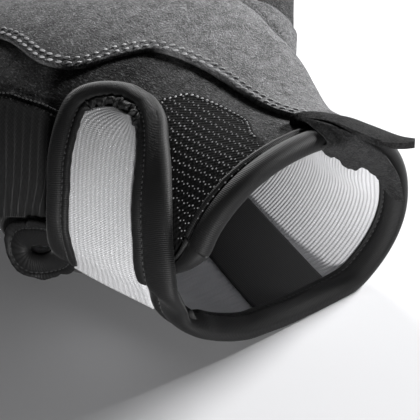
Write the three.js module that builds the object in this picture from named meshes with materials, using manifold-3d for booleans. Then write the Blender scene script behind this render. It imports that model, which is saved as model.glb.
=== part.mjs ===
// Motocross glove for the right hand, stuffed and lying palm up.
// Millimetres, +Z up, fingers towards +Y, thumb towards +X, back of the hand on z = 0.
import * as THREE from "three";
import { mergeVertices } from "three/addons/utils/BufferGeometryUtils.js";
import Module from "manifold-3d";

const wasm = await Module();
wasm.setup();

// Driving dimensions
const WALL = 2; // palm, back and side fabric
const DIGIT_WALL = 1.8; // finger and thumb fabric
const GAP = 0.3; // kept between neighbouring pieces
const OVERLAY = 1.3; // second suede layer on the palm
const LINING = 1.2; // elastic band inside the wrist
const LABEL = 0.9; // woven label on the lining
const LINING_LENGTH = 46; // from the wrist edge towards the fingers
const BINDING_WIDTH = 7; // rolled tape round every free edge
const BINDING_THICKNESS = 4;
const STRAP_THICKNESS = 2;
const STRAP_LIFT = 3.4; // strap's inner face above the wrist
const TAB_THICKNESS = 2;
const SLIT_FLARE = 7;
const HAND_END = 120; // where the hand closes between the fingers
const WIDEST = 0.46; // widest level of a section, as a share of its height
const SEAM_LEVELS = 11;
const RING_POINTS = 32;
const DIGIT_POINTS = 12;
const FRAME_ORIGIN = { x: 23.2, y: 91.9 }; // middle of the finished glove's outline

// Hand sections: centre and half width along x, lowest and highest z, roundness power
const HAND_SECTIONS = [
  { y: 0, centre: 3.5, half: 32.5, low: -3, high: 47, power: 2.1 },
  { y: 10, centre: 3.0, half: 32.0, low: -3, high: 46, power: 2.1 },
  { y: 22, centre: 2.5, half: 33.0, low: -3, high: 45, power: 2.1 },
  { y: 36, centre: 2.5, half: 36.0, low: -3, high: 45.5, power: 2.2 },
  { y: 44, centre: 3.0, half: 38.2, low: -3, high: 46.2, power: 2.25 },
  { y: 52, centre: 3.6, half: 40.7, low: -3, high: 47.2, power: 2.3 },
  { y: 59, centre: 4.3, half: 43.0, low: -3, high: 48.2, power: 2.3 },
  { y: 66, centre: 5.0, half: 45.0, low: -3, high: 49, power: 2.3 },
  { y: 82, centre: 4.0, half: 48.0, low: -3, high: 47.5, power: 2.35 },
  { y: 98, centre: 2.0, half: 48.5, low: -3, high: 43, power: 2.4 },
  { y: 110, centre: 0.5, half: 47.5, low: -2.5, high: 37, power: 2.4 },
  { y: 120, centre: 0.0, half: 44.5, low: 1, high: 29, power: 2.4 },
];

// Digits: root centre, heading from +Y towards +X, length of the centre line, radii,
// pitch at root and tip, and the distance along it where its own fabric starts
const DIGITS = [
  { name: "index", x: 34.6, y: 108, z: 16, heading: 4, length: 84, root: 11.3, tip: 9.9, rise: [2, 44], collar: 20 },
  { name: "middle", x: 11.6, y: 110, z: 15.5, heading: 0.5, length: 92, root: 11.4, tip: 10.1, rise: [2, 42], collar: 19 },
  { name: "ring", x: -11.6, y: 108, z: 15.5, heading: -3, length: 86, root: 11.1, tip: 9.8, rise: [2, 44], collar: 19 },
  { name: "little", x: -33.4, y: 102, z: 15.5, heading: -7, length: 72, root: 10.2, tip: 8.8, rise: [2, 46], collar: 21 },
  { name: "thumb", x: 38, y: 63, z: 21, heading: 44, length: 80, root: 14, tip: 11.2, rise: [2, 30], collar: 33 },
];

// Strap outline on the wrist: section angle in degrees and y, of its outer edge and of the
// line where its tape ends, from the mouth side over the rounded end to the finger side
const STRAP_OUTLINE = [
  { angle: 198, y: 1.5, innerAngle: 198, innerY: 13.4 },
  { angle: 187, y: 1.3, innerAngle: 190, innerY: 13.4 },
  { angle: 175.5, y: 1.4, innerAngle: 181, innerY: 13.2 },
  { angle: 164.7, y: 2.9, innerAngle: 171, innerY: 13.4 },
  { angle: 154.6, y: 6.3, innerAngle: 161, innerY: 15.3 },
  { angle: 145.3, y: 9.7, innerAngle: 151, innerY: 18.2 },
  { angle: 137.2, y: 13.2, innerAngle: 141.9, innerY: 21.2 },
  { angle: 128.4, y: 17.7, innerAngle: 133.6, innerY: 24.4 },
  { angle: 119.8, y: 23.1, innerAngle: 126.6, innerY: 27.8 },
  { angle: 112.4, y: 28.3, innerAngle: 121.7, innerY: 30.8 },
  { angle: 108.5, y: 33.6, innerAngle: 118.2, innerY: 34.5 },
  { angle: 108, y: 37.5, innerAngle: 118.1, innerY: 36.6 },
  { angle: 108.5, y: 41, innerAngle: 118.2, innerY: 38.8 },
  { angle: 111.3, y: 44.8, innerAngle: 120.2, innerY: 41.2 },
  { angle: 115.9, y: 47.7, innerAngle: 123, innerY: 42.8 },
  { angle: 120.6, y: 50, innerAngle: 126.7, innerY: 43.9 },
  { angle: 126.6, y: 49.8, innerAngle: 130.1, innerY: 43.8 },
  { angle: 131.8, y: 48.6, innerAngle: 133.1, innerY: 42.8 },
  { angle: 138.9, y: 46.5, innerAngle: 137.7, innerY: 41.1 },
  { angle: 148.5, y: 43.8, innerAngle: 144.8, innerY: 38.6 },
  { angle: 158.9, y: 40.8, innerAngle: 154.6, innerY: 35.7 },
  { angle: 169, y: 39.2, innerAngle: 164.5, innerY: 33.6 },
  { angle: 178.8, y: 39.9, innerAngle: 173.6, innerY: 32.8 },
  { angle: 187, y: 41.4, innerAngle: 184, innerY: 34 },
  { angle: 198, y: 42.4, innerAngle: 198, innerY: 36 },
];

// Tape round the slit on the little finger's side, from the palm corner round the apex
const SLIT_EDGE = [
  { x: -29.2, y: 9.5, z: 26.4 },
  { x: -30.4, y: 22, z: 25.4 },
  { x: -33.0, y: 36, z: 22.6 },
  { x: -35.6, y: 46, z: 18.4 },
  { x: -37.4, y: 53, z: 14.2 },
  { x: -38.4, y: 57.4, z: 9.8 },
  { x: -38.0, y: 55.4, z: 5.8 },
  { x: -37.2, y: 50.6, z: 4.4 },
  { x: -36.2, y: 46.6, z: 5.4 },
];

// Pull tab at the palm's edge: near and far edge of each station
const TAB_SECTIONS = [
  { near: [7.3, 10.5, 46.5], far: [17.4, 10.5, 43.8] },
  { near: [12.9, -2.5, 47.8], far: [23, 6, 42] },
  { near: [17.4, -10.5, 45.5], far: [26.8, -1.2, 40.2] },
  { near: [23.2, -14, 44.8], far: [30.1, -7.3, 39] },
];

// Panel outlines in plan (x, y) and from the side (y, z)
const OVERLAY_OUTLINE = [
  [11, 13.5], [9.4, 19], [9, 27], [8.6, 40.5], [4.2, 51.7], [-3.3, 55.4], [-13.9, 58.8],
  [-18.9, 67.6], [-18.4, 84.4], [-24, 97], [-34, 104], [-38, 109], [60, 109], [60, 13.5],
];
const MESH_OUTLINE = [
  [-8, 37], [-1, 36.6], [2.2, 34.4], [3.8, 30.5], [4, 24.4], [2.8, 19], [0.4, 12],
  [-4, 7.6], [-24, 7.6], [-24, 13], [-17, 26],
];
const LABEL_OUTLINE = [[-5.3, 7.6], [15, 7.6], [23.5, 44], [3.5, 44]];
const RIB_OUTLINE = [
  [44, 25.6], [52, 22.6], [62, 18.4], [66, 12], [96, 11], [104, 19], [98, 30], [82, 38], [66, 41.2], [44, 41],
];
const SLIT_OUTLINE = [
  [-10, 14.2], [42.6, 14.2], [43.6, 2.6], [47, 1.4], [54, 1.4], [60, 4], [62, 9.4], [60, 14.6], [50, 20.4], [38, 25.4], [22, 28.2], [-10, 29.2],
];

const radians = THREE.MathUtils.degToRad;

// Smooth value of one column of the hand's table at y
function handValue(y, column) {
  const rows = HAND_SECTIONS;
  const place = THREE.MathUtils.clamp(y, rows[0].y, rows.at(-1).y);
  let i = 0;
  while (i < rows.length - 2 && rows[i + 1].y <= place) i += 1;
  const before = rows[Math.max(i - 1, 0)];
  const after = rows[Math.min(i + 2, rows.length - 1)];
  const [a, b] = [rows[i], rows[i + 1]];
  const span = b.y - a.y;
  const t = (place - a.y) / span;
  const startSlope = ((b[column] - before[column]) / (b.y - before.y)) * span;
  const endSlope = ((after[column] - a[column]) / (after.y - a.y)) * span;
  return (
    (2 * t ** 3 - 3 * t * t + 1) * a[column] +
    (t ** 3 - 2 * t * t + t) * startSlope +
    (3 * t * t - 2 * t ** 3) * b[column] +
    (t ** 3 - t * t) * endSlope
  );
}

// Height of the side seam, between palm and back
function seamHeight(y) {
  const low = handValue(y, "low");
  return low + WIDEST * (handValue(y, "high") - low);
}

// Bulge of the gathered fabric under the slit's tape
const bell = (distance) => Math.exp(-distance * distance);
function slitFlare(y, angle) {
  const turn = THREE.MathUtils.euclideanModulo(THREE.MathUtils.radToDeg(angle), 360);
  return SLIT_FLARE * bell((y - 51) / 8) * bell((turn - 213) / 15);
}

// Point on the hand's surface, moved out by offset; the floor flattens the underside
function handPoint(y, angle, offset) {
  const low = handValue(y, "low");
  const high = handValue(y, "high");
  const middle = seamHeight(y);
  const bend = 2 / handValue(y, "power");
  const across = Math.sign(Math.cos(angle)) * Math.abs(Math.cos(angle)) ** bend;
  const upward = Math.sign(Math.sin(angle)) * Math.abs(Math.sin(angle)) ** bend;
  const rise = upward >= 0 ? high - middle : middle - low;
  return new THREE.Vector3(
    handValue(y, "centre") + (handValue(y, "half") + offset + slitFlare(y, angle)) * across,
    y,
    Math.max(middle + (rise + offset) * upward, Math.max(-offset, 0)),
  );
}

// Closed skin through rings of equal length, with a fan on each end
function skin(rings) {
  const size = rings[0].length;
  const corners = rings.flat();
  const triangles = [];
  for (let k = 0; k < rings.length - 1; k += 1) {
    for (let i = 0; i < size; i += 1) {
      const j = (i + 1) % size;
      const [a, b] = [k * size + i, k * size + j];
      triangles.push(a, b, b + size, a, b + size, a + size);
    }
  }
  for (const [ring, first, turned] of [[rings[0], 0, true], [rings.at(-1), (rings.length - 1) * size, false]]) {
    const hub = corners.length;
    corners.push(ring.reduce((sum, p) => sum.add(p), new THREE.Vector3()).divideScalar(size));
    for (let i = 0; i < size; i += 1) {
      const j = (i + 1) % size;
      triangles.push(hub, first + (turned ? j : i), first + (turned ? i : j));
    }
  }
  return solidOf(corners, triangles);
}

// Solid from corners and triangles, turned so that its faces point out
function solidOf(corners, triangles) {
  let volume = 0;
  for (let t = 0; t < triangles.length; t += 3) {
    const [a, b, c] = [corners[triangles[t]], corners[triangles[t + 1]], corners[triangles[t + 2]]];
    volume += a.dot(b.clone().cross(c));
  }
  const order = volume < 0 ? [0, 2, 1] : [0, 1, 2];
  const triVerts = new Uint32Array(triangles.length);
  for (let t = 0; t < triangles.length; t += 3) {
    order.forEach((from, to) => {
      triVerts[t + to] = triangles[t + from];
    });
  }
  const vertProperties = new Float32Array(corners.flatMap((p) => [p.x, p.y, p.z]));
  return new wasm.Manifold(new wasm.Mesh({ numProp: 3, vertProperties, triVerts }));
}

// Solid of an outline pushed along the third of the axes given
function prism(outline, from, to, axes) {
  const shape = new THREE.Shape(outline.map(([u, v]) => new THREE.Vector2(u, v)));
  const geometry = new THREE.ExtrudeGeometry(shape, { depth: to - from, bevelEnabled: false });
  geometry.translate(0, 0, from);
  geometry.applyMatrix4(new THREE.Matrix4().makeBasis(...axes));
  geometry.deleteAttribute("normal");
  geometry.deleteAttribute("uv");
  const merged = mergeVertices(geometry, 1e-4);
  const positions = merged.getAttribute("position");
  const corners = [];
  for (let i = 0; i < positions.count; i += 1) corners.push(new THREE.Vector3().fromBufferAttribute(positions, i));
  return solidOf(corners, Array.from(merged.index.array));
}

const X_AXIS = new THREE.Vector3(1, 0, 0);
const Y_AXIS = new THREE.Vector3(0, 1, 0);
const Z_AXIS = new THREE.Vector3(0, 0, 1);
const fromAbove = (outline, from, to) => prism(outline, from, to, [X_AXIS, Y_AXIS, Z_AXIS]);
const fromSide = (outline, from, to) => prism(outline, from, to, [Y_AXIS, Z_AXIS, X_AXIS]);

// Outline moved out by distance, corner by corner; negative distances move it in
function grown(outline, distance) {
  const points = outline.map(([u, v]) => new THREE.Vector2(u, v));
  const turn = THREE.ShapeUtils.area(points) > 0 ? 1 : -1;
  return points.map((point, i) => {
    const before = points.at(i - 1);
    const after = points[(i + 1) % points.length];
    const first = point.clone().sub(before).normalize();
    const second = after.clone().sub(point).normalize();
    const normal = new THREE.Vector2(first.y + second.y, -first.x - second.x).normalize();
    const stretch = 1 / Math.max(0.5, normal.dot(new THREE.Vector2(first.y, -first.x)));
    const moved = point.clone().addScaledVector(normal, turn * distance * stretch);
    return [moved.x, moved.y];
  });
}

// The stuffed hand as one solid, from one y to another
function hand(offset, from, to) {
  const stations = [from, ...HAND_SECTIONS.map((row) => row.y).filter((y) => y > from && y < to), to];
  return skin(
    stations.map((y) =>
      Array.from({ length: RING_POINTS }, (_, i) => {
        const point = handPoint(y, (2 * Math.PI * i) / RING_POINTS, offset);
        point.y = y;
        return point;
      }),
    ),
  );
}

// Layer of fabric between two offsets from the hand's surface
const layer = (inner, outer, from, to) => hand(outer, from, to).subtract(hand(inner, from - 5, to + 5));

// Frame on a digit's centre line at a distance from its root
function digitFrame(digit, distance) {
  const steps = 24;
  const heading = radians(digit.heading);
  const centre = new THREE.Vector3(digit.x, digit.y, digit.z);
  const along = new THREE.Vector3();
  for (let i = 0; i <= steps; i += 1) {
    const share = (distance * (i - 0.5)) / steps / digit.length;
    const bend = THREE.MathUtils.clamp(share, 0, 1) ** 1.6;
    const pitch = radians(THREE.MathUtils.lerp(digit.rise[0], digit.rise[1], bend));
    along.set(Math.sin(heading) * Math.cos(pitch), Math.cos(heading) * Math.cos(pitch), Math.sin(pitch));
    if (i > 0) centre.addScaledVector(along, distance / steps);
  }
  const side = new THREE.Vector3(Math.cos(heading), -Math.sin(heading), 0);
  return { centre, along: along.clone(), side, up: side.clone().cross(along) };
}

// Tube along a digit; a rounded tip closes it when it runs to the end
function digitTube(digit, inset, from, to, rounded) {
  const end = to - (rounded ? inset : 0);
  const bodyEnd = rounded ? end - (digit.tip - inset) : end;
  const straight = 4;
  const places = Array.from({ length: straight + 1 }, (_, i) => ({
    distance: THREE.MathUtils.lerp(from, bodyEnd, i / straight),
    shrink: 1,
  }));
  if (rounded) {
    for (const turn of [30, 55, 78]) {
      const distance = bodyEnd + (digit.tip - inset) * Math.sin(radians(turn));
      places.push({ distance, shrink: Math.cos(radians(turn)) });
    }
  }
  return skin(
    places.map(({ distance, shrink }) => {
      const { centre, side, up } = digitFrame(digit, distance);
      const share = THREE.MathUtils.clamp(distance / digit.length, 0, 1);
      const radius = (THREE.MathUtils.lerp(digit.root, digit.tip, share) - inset) * shrink;
      return Array.from({ length: DIGIT_POINTS }, (_, i) => {
        const angle = (2 * Math.PI * (i + 0.5)) / DIGIT_POINTS;
        return centre
          .clone()
          .addScaledVector(side, radius * Math.cos(angle))
          .addScaledVector(up, radius * 0.94 * Math.sin(angle));
      });
    }),
  );
}

// Block that follows a digit on its palm side (+1) or its back (-1)
function digitHalf(digit, facing) {
  const reach = digit.root + 3;
  const stations = Array.from({ length: 7 }, (_, i) => (digit.length + 4) * (i / 6));
  return skin(
    stations.map((distance) => {
      const { centre, side, up } = digitFrame(digit, distance);
      return [[-reach, GAP / 2], [reach, GAP / 2], [reach, reach], [-reach, reach]].map(([across, height]) =>
        centre.clone().addScaledVector(side, across).addScaledVector(up, facing * height),
      );
    }),
  );
}

// Finger or thumb: a hollow tube in a palm side and a back, open at the hand
function digitPieces(digit) {
  const wall = digitTube(digit, 0, digit.collar + GAP, digit.length, true).subtract(
    digitTube(digit, DIGIT_WALL, digit.collar - 4, digit.length, true),
  );
  return {
    [`${digit.name}_front`]: wall.intersect(digitHalf(digit, 1)),
    [`${digit.name}_back`]: wall.intersect(digitHalf(digit, -1)),
  };
}

// Whole fabric of the hand with a collar for each digit, before it is cut into panels
function handFabric() {
  let outside = hand(0, BINDING_WIDTH + GAP, HAND_END);
  let inside = hand(-WALL, 0, HAND_END - WALL);
  for (const digit of DIGITS) {
    outside = outside.add(digitTube(digit, 0, 0, digit.collar, false));
    inside = inside.add(digitTube(digit, DIGIT_WALL, 2, digit.collar + 3, false));
  }
  return outside.subtract(inside);
}

// Region above (+1) or below (-1) the side seam
function seamHalf(facing) {
  const levels = Array.from({ length: SEAM_LEVELS }, (_, i) => {
    const y = THREE.MathUtils.lerp(-10, 150, i / (SEAM_LEVELS - 1));
    return [y, seamHeight(y) + (facing * GAP) / 2];
  });
  return fromSide([...levels, [150, 90 * facing], [-10, 90 * facing]], -90, 110);
}

// Side panel and slit regions reach only through the wall on the little finger's side
const ribRegion = (distance) => fromSide(grown(RIB_OUTLINE, distance), -80, -15);
const slitRegion = () => fromSide(SLIT_OUTLINE, -80, -17);
const meshRegion = (distance) => fromAbove(grown(MESH_OUTLINE, distance), 24, 70);

// Suede layer over the palm's thumb side, with a wavy edge
function palmOverlay() {
  const thumb = DIGITS.find((digit) => digit.name === "thumb");
  return layer(GAP, GAP + OVERLAY, 8, HAND_END - 2)
    .intersect(fromAbove(OVERLAY_OUTLINE, 25, 70))
    .subtract(digitTube(thumb, -GAP, 0, thumb.collar + 4, false));
}

// Ribbed elastic band inside the wrist, left open for the label and the slit
function elasticLining() {
  return layer(-WALL - GAP - LINING, -WALL - GAP, BINDING_WIDTH + GAP, LINING_LENGTH)
    .subtract(fromAbove(grown(LABEL_OUTLINE, GAP), -5, 15))
    .subtract(slitRegion());
}

// Woven label on the inside of the back, running from the wrist edge inwards
function innerLabel() {
  return layer(-WALL - GAP - LABEL, -WALL - GAP, BINDING_WIDTH + GAP, LINING_LENGTH).intersect(
    fromAbove(LABEL_OUTLINE, -5, 15),
  );
}

// Wall between two grids of points, closed round its border
function wallBetween(outer, inner) {
  const [rows, columns] = [outer.length, outer[0].length];
  const corners = [...outer.flat(), ...inner.flat()];
  const lower = rows * columns;
  const triangles = [];
  const quad = (a, b, c, d) => triangles.push(a, b, c, a, c, d);
  for (let r = 0; r < rows - 1; r += 1) {
    for (let c = 0; c < columns - 1; c += 1) {
      const at = r * columns + c;
      quad(at, at + 1, at + columns + 1, at + columns);
      quad(lower + at, lower + at + columns, lower + at + columns + 1, lower + at + 1);
    }
  }
  for (let r = 0; r < rows - 1; r += 1) {
    const [left, right] = [r * columns, r * columns + columns - 1];
    quad(left, left + columns, lower + left + columns, lower + left);
    quad(right, lower + right, lower + right + columns, right + columns);
  }
  for (let c = 0; c < columns - 1; c += 1) {
    const [first, last] = [c, (rows - 1) * columns + c];
    quad(first, lower + first, lower + first + 1, first + 1);
    quad(last, last + 1, lower + last + 1, lower + last);
  }
  return solidOf(corners, triangles);
}

// Strap outline at a share of its way round, on its outer edge (0) or its tape's end (1)
const strapCurves = [
  new THREE.CatmullRomCurve3(STRAP_OUTLINE.map((row) => new THREE.Vector3(row.angle, row.y, 0))),
  new THREE.CatmullRomCurve3(STRAP_OUTLINE.map((row) => new THREE.Vector3(row.innerAngle, row.innerY, 0))),
];

function strapPlace(share, inward) {
  return strapCurves[0].getPoint(share).lerp(strapCurves[1].getPoint(share), inward);
}

// Height of the strap's inner face: on the back at its seam, then lifted off the wrist
function strapLift(angle) {
  return THREE.MathUtils.lerp(STRAP_LIFT, 2 * GAP, THREE.MathUtils.smoothstep(angle, 170, 190));
}

function strapPoint(place, height) {
  return handPoint(place.y, radians(place.x), strapLift(place.x) + height);
}

// White panel of the wrist strap, across its tape's end line
function wristStrap() {
  const steps = 13;
  const columns = 4;
  const grid = (height) =>
    Array.from({ length: steps }, (_, i) => {
      const share = (0.49 * i) / (steps - 1);
      const right = strapPlace(share, 1);
      const left = strapPlace(1 - share, 1);
      return Array.from({ length: columns }, (_unused, k) => {
        const inset = THREE.MathUtils.lerp(0.03, 0.97, k / (columns - 1));
        return strapPoint(right.clone().lerp(left, inset), height);
      });
    });
  return wallBetween(grid(STRAP_THICKNESS + 0.3), grid(0.3));
}

// Black tape round the strap
function strapBinding() {
  const steps = 40;
  const grid = (height) =>
    Array.from({ length: steps }, (_, i) =>
      [0, 0.5, 0.93].map((inward) => strapPoint(strapPlace(i / (steps - 1), inward), height)),
    );
  return wallBetween(grid(BINDING_THICKNESS - 0.8), grid(0));
}

// Flat roll of tape along a path, with its width across the path and its thickness outward
function tape(path, outward, width) {
  const half = [width / 2, BINDING_THICKNESS / 2];
  const rings = path.map((point, i) => {
    const along = path[Math.min(i + 1, path.length - 1)].clone().sub(path[Math.max(i - 1, 0)]).normalize();
    const normal = outward(point).addScaledVector(along, -outward(point).dot(along)).normalize();
    const across = along.clone().cross(normal);
    return Array.from({ length: 8 }, (_, k) => {
      const angle = radians(45 * k + 22.5);
      return point
        .clone()
        .addScaledVector(across, half[0] * 1.08 * Math.cos(angle))
        .addScaledVector(normal, half[1] * 1.08 * Math.sin(angle));
    });
  });
  return skin(rings);
}

// Tape round the wrist's mouth, from the palm corner over the top and right to the strap
function cuffBinding() {
  const [first, last, steps] = [radians(156), radians(-161), 26];
  const path = Array.from({ length: steps }, (_, i) => {
    const angle = THREE.MathUtils.lerp(first, last, i / (steps - 1));
    return handPoint(BINDING_WIDTH / 2, angle, -BINDING_THICKNESS / 2 - 0.1);
  });
  return tape(path, (point) => new THREE.Vector3(point.x - 3.5, 0, point.z - 22), BINDING_WIDTH);
}

// Tape round the slit
function slitBinding() {
  const curve = new THREE.CatmullRomCurve3(SLIT_EDGE.map(({ x, y, z }) => new THREE.Vector3(x, y, z)));
  return tape(curve.getPoints(22), () => new THREE.Vector3(-1, 0, 0), BINDING_WIDTH - 2.6);
}

// Suede pull tab that stands out of the palm's edge
function pullTab() {
  const grid = (height) =>
    TAB_SECTIONS.map(({ near, far }) =>
      [0, 0.5, 1].map((share) => {
        const point = new THREE.Vector3(...near).lerp(new THREE.Vector3(...far), share);
        point.z += height + 1.2 * Math.sin(Math.PI * share);
        return point;
      }),
    );
  return wallBetween(grid(TAB_THICKNESS), grid(0));
}

// Colours and finish
const SUEDE = { color: 0x3b3b3d, roughness: 0.95, metalness: 0 };
const PALE_SUEDE = { color: 0x6c6c6e, roughness: 0.95, metalness: 0 };
const DARK_KNIT = { color: 0x232325, roughness: 0.9, metalness: 0 };
const BLACK_TAPE = { color: 0x1c1c1e, roughness: 0.7, metalness: 0 };
const WHITE_ELASTIC = { color: 0xe6e6e4, roughness: 0.85, metalness: 0 };
const BLACK_LABEL = { color: 0x161617, roughness: 0.8, metalness: 0 };

const group = new THREE.Group();

function place(name, solid, finish) {
  const { vertProperties, triVerts } = solid.getMesh();
  const geometry = new THREE.BufferGeometry();
  geometry.setAttribute("position", new THREE.BufferAttribute(new Float32Array(vertProperties), 3));
  geometry.setIndex(new THREE.BufferAttribute(new Uint32Array(triVerts), 1));
  const mesh = new THREE.Mesh(geometry, new THREE.MeshStandardMaterial(finish));
  mesh.name = name;
  mesh.position.set(-FRAME_ORIGIN.x, -FRAME_ORIGIN.y, 0);
  group.add(mesh);
}

const fabric = handFabric();
const slit = slitRegion();
place("palm_shell", fabric.intersect(seamHalf(1)).subtract(slit).subtract(ribRegion(0)).subtract(meshRegion(0)), SUEDE);
place("back_shell", fabric.intersect(seamHalf(-1)).subtract(slit).subtract(ribRegion(0)), DARK_KNIT);
place("rib_panel", fabric.intersect(ribRegion(-GAP)).subtract(slit), DARK_KNIT);
place("mesh_patch", fabric.intersect(meshRegion(-GAP)), DARK_KNIT);
place("palm_overlay", palmOverlay(), PALE_SUEDE);
place("elastic_lining", elasticLining(), WHITE_ELASTIC);
place("inner_label", innerLabel(), BLACK_LABEL);
place("wrist_strap", wristStrap(), WHITE_ELASTIC);
place("strap_binding", strapBinding(), BLACK_TAPE);
place("cuff_binding", cuffBinding(), BLACK_TAPE);
place("slit_binding", slitBinding(), BLACK_TAPE);
place("pull_tab", pullTab(), SUEDE);
for (const digit of DIGITS) {
  const pieces = Object.entries(digitPieces(digit));
  for (const [name, solid] of pieces) place(name, solid, name.endsWith("front") ? SUEDE : DARK_KNIT);
}

export default group;
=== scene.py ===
import math
import bmesh
import bpy
import numpy as np
from mathutils import Matrix, Vector
from mathutils.bvhtree import BVHTree


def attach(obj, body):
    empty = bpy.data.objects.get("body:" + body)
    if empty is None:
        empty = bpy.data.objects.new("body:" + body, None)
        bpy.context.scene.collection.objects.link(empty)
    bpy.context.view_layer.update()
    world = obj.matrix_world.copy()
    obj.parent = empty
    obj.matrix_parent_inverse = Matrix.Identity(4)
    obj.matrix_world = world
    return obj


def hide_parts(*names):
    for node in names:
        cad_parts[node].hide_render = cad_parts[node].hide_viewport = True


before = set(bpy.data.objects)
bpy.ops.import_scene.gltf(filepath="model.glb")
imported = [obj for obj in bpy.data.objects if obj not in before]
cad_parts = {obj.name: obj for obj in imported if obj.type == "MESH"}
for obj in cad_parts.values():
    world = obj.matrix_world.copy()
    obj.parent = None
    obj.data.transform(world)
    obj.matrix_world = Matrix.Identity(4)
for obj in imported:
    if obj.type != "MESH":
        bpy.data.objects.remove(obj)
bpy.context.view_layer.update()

# everything below is worked out in mm, in the glove's own place: mouth at y = 0, fingers towards +y
mm = 0.001
gloveShift = np.array([23.2, 91.9, 0.0])  # from the mouth's corner to the frame's middle

handRows = [  # y, centre, half width, lowest, highest, roundness
    (0, 3.5, 32.5, -3.0, 47.0, 2.10),
    (10, 3.0, 32.0, -3.0, 46.0, 2.10),
    (22, 2.5, 33.0, -3.0, 45.0, 2.10),
    (36, 2.5, 36.0, -3.0, 45.5, 2.20),
    (44, 3.0, 38.2, -3.0, 46.2, 2.25),
    (52, 3.6, 40.7, -3.0, 47.2, 2.30),
    (59, 4.3, 43.0, -3.0, 48.2, 2.30),
    (66, 5.0, 45.0, -3.0, 49.0, 2.30),
    (82, 4.0, 48.0, -3.0, 47.5, 2.35),
    (98, 2.0, 48.5, -3.0, 43.0, 2.40),
    (110, 0.5, 47.5, -2.5, 37.0, 2.40),
    (120, 0.0, 44.5, 1.0, 29.0, 2.40),
]
handTable = np.array(handRows, float)
centreOf, halfOf, lowOf, highOf, bendOf = range(1, 6)  # the table's columns
widest = 0.46  # widest level of a section, as a share of its height
slitFlare = {"size": 7.0, "y": 51.0, "reach": 8.0, "angle": 213.0, "spread": 15.0}
palmFlare = {"size": 4.8, "y": 44.0, "reach": 15.0, "angle": 38.0, "spread": 28.0}

digitRows = [  # name, root, heading, length, radius at root and tip, rise at root and tip
    ("index", (34.6, 108, 16), 4, 84, (11.3, 9.9), (2, 44)),
    ("middle", (11.6, 110, 15.5), 0.5, 92, (11.4, 10.1), (2, 42)),
    ("ring", (-11.6, 108, 15.5), -3, 86, (11.1, 9.8), (2, 44)),
    ("little", (-33.4, 102, 15.5), -7, 72, (10.2, 8.8), (2, 46)),
    ("thumb", (38, 63, 21), 44, 80, (14, 11.2), (2, 30)),
]
digits = {row[0]: dict(zip(("root", "heading", "length", "radii", "rise"), row[1:])) for row in digitRows}


def handValue(y, column):
    ys = handTable[:, 0]
    v = handTable[:, column]
    y = np.clip(y, ys[0], ys[-1])
    i = np.clip(np.searchsorted(ys, y, side="right") - 1, 0, len(ys) - 2)
    before = np.maximum(i - 1, 0)
    after = np.minimum(i + 2, len(ys) - 1)
    span = ys[i + 1] - ys[i]
    t = (y - ys[i]) / span
    m0 = (v[i + 1] - v[before]) / (ys[i + 1] - ys[before]) * span
    m1 = (v[after] - v[i]) / (ys[after] - ys[i]) * span
    return ((2 * t**3 - 3 * t * t + 1) * v[i] + (t**3 - 2 * t * t + t) * m0
            + (3 * t * t - 2 * t**3) * v[i + 1] + (t**3 - t * t) * m1)


def seamHeight(y):
    low = handValue(y, lowOf)
    return low + widest * (handValue(y, highOf) - low)


def surf(angle, y, offset=0.0):  # point on the stuffed hand, angle in degrees
    angle, y, offset = np.broadcast_arrays(*[np.asarray(v, float) for v in (angle, y, offset)])
    low, high, middle = handValue(y, lowOf), handValue(y, highOf), seamHeight(y)
    bend = 2 / handValue(y, bendOf)
    c, s = np.cos(np.radians(angle)), np.sin(np.radians(angle))
    across = np.sign(c) * np.abs(c) ** bend
    upward = np.sign(s) * np.abs(s) ** bend
    rise = np.where(upward >= 0, high - middle, middle - low)
    flare = 0.0
    for bump in (slitFlare, palmFlare):
        flare = flare + bump["size"] * np.exp(-((y - bump["y"]) / bump["reach"]) ** 2
                                              - ((np.mod(angle, 360) - bump["angle"]) / bump["spread"]) ** 2)
    x = handValue(y, centreOf) + (handValue(y, halfOf) + offset + flare) * across
    z = np.maximum(middle + (rise + offset) * upward, np.maximum(-offset, 0))
    return np.stack([x, y, z], -1)


def surfNormal(angle, y):
    a = surf(np.asarray(angle) + 1.0, y) - surf(np.asarray(angle) - 1.0, y)
    b = surf(angle, np.asarray(y) + 0.8) - surf(angle, np.asarray(y) - 0.8)
    n = np.cross(b, a)
    return n / np.maximum(np.linalg.norm(n, axis=-1, keepdims=True), 1e-9)


def smoothstep(v, low, high):
    t = np.clip((v - low) / (high - low), 0, 1)
    return t * t * (3 - 2 * t)


def catmull(points, steps, closed=False):  # smooth curve through rows of numbers
    p = np.asarray(points, float)
    n = len(p)
    if closed:
        ext = np.vstack([p[-1:], p, p[:2]])
        spans = n
    else:
        ext = np.vstack([2 * p[0] - p[1], p, 2 * p[-1] - p[-2]])
        spans = n - 1
    out = []
    for k in range(spans):
        p0, p1, p2, p3 = ext[k], ext[k + 1], ext[k + 2], ext[k + 3]
        t = np.linspace(0, 1, steps, endpoint=False)[:, None]
        out.append(0.5 * (2 * p1 + (p2 - p0) * t + (2 * p0 - 5 * p1 + 4 * p2 - p3) * t**2
                          + (3 * p1 - p0 - 3 * p2 + p3) * t**3))
    out = np.vstack(out)
    return out if closed else np.vstack([out, p[-1:]])


def runAlong(points):  # distance along a line of points
    return np.concatenate([[0], np.cumsum(np.linalg.norm(np.diff(points, axis=0), axis=1))])


def evenly(points, gap, closed=False):  # the same curve with points a fixed gap apart
    p = np.vstack([points, points[:1]]) if closed else points
    run = runAlong(p[:, :3])
    at = np.linspace(0, run[-1], max(4, int(round(run[-1] / gap))), endpoint=not closed)
    return np.stack([np.interp(at, run, p[:, k]) for k in range(p.shape[1])], -1), at


def between(first, last, share):  # rows that run from one set of numbers to another
    a, b = first[:, None], last[:, None]
    return a + (b - a) * share.reshape(1, -1, *[1] * (a.ndim - 2))


def toFrame(points):
    return (np.asarray(points, float) - gloveShift) * mm


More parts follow.
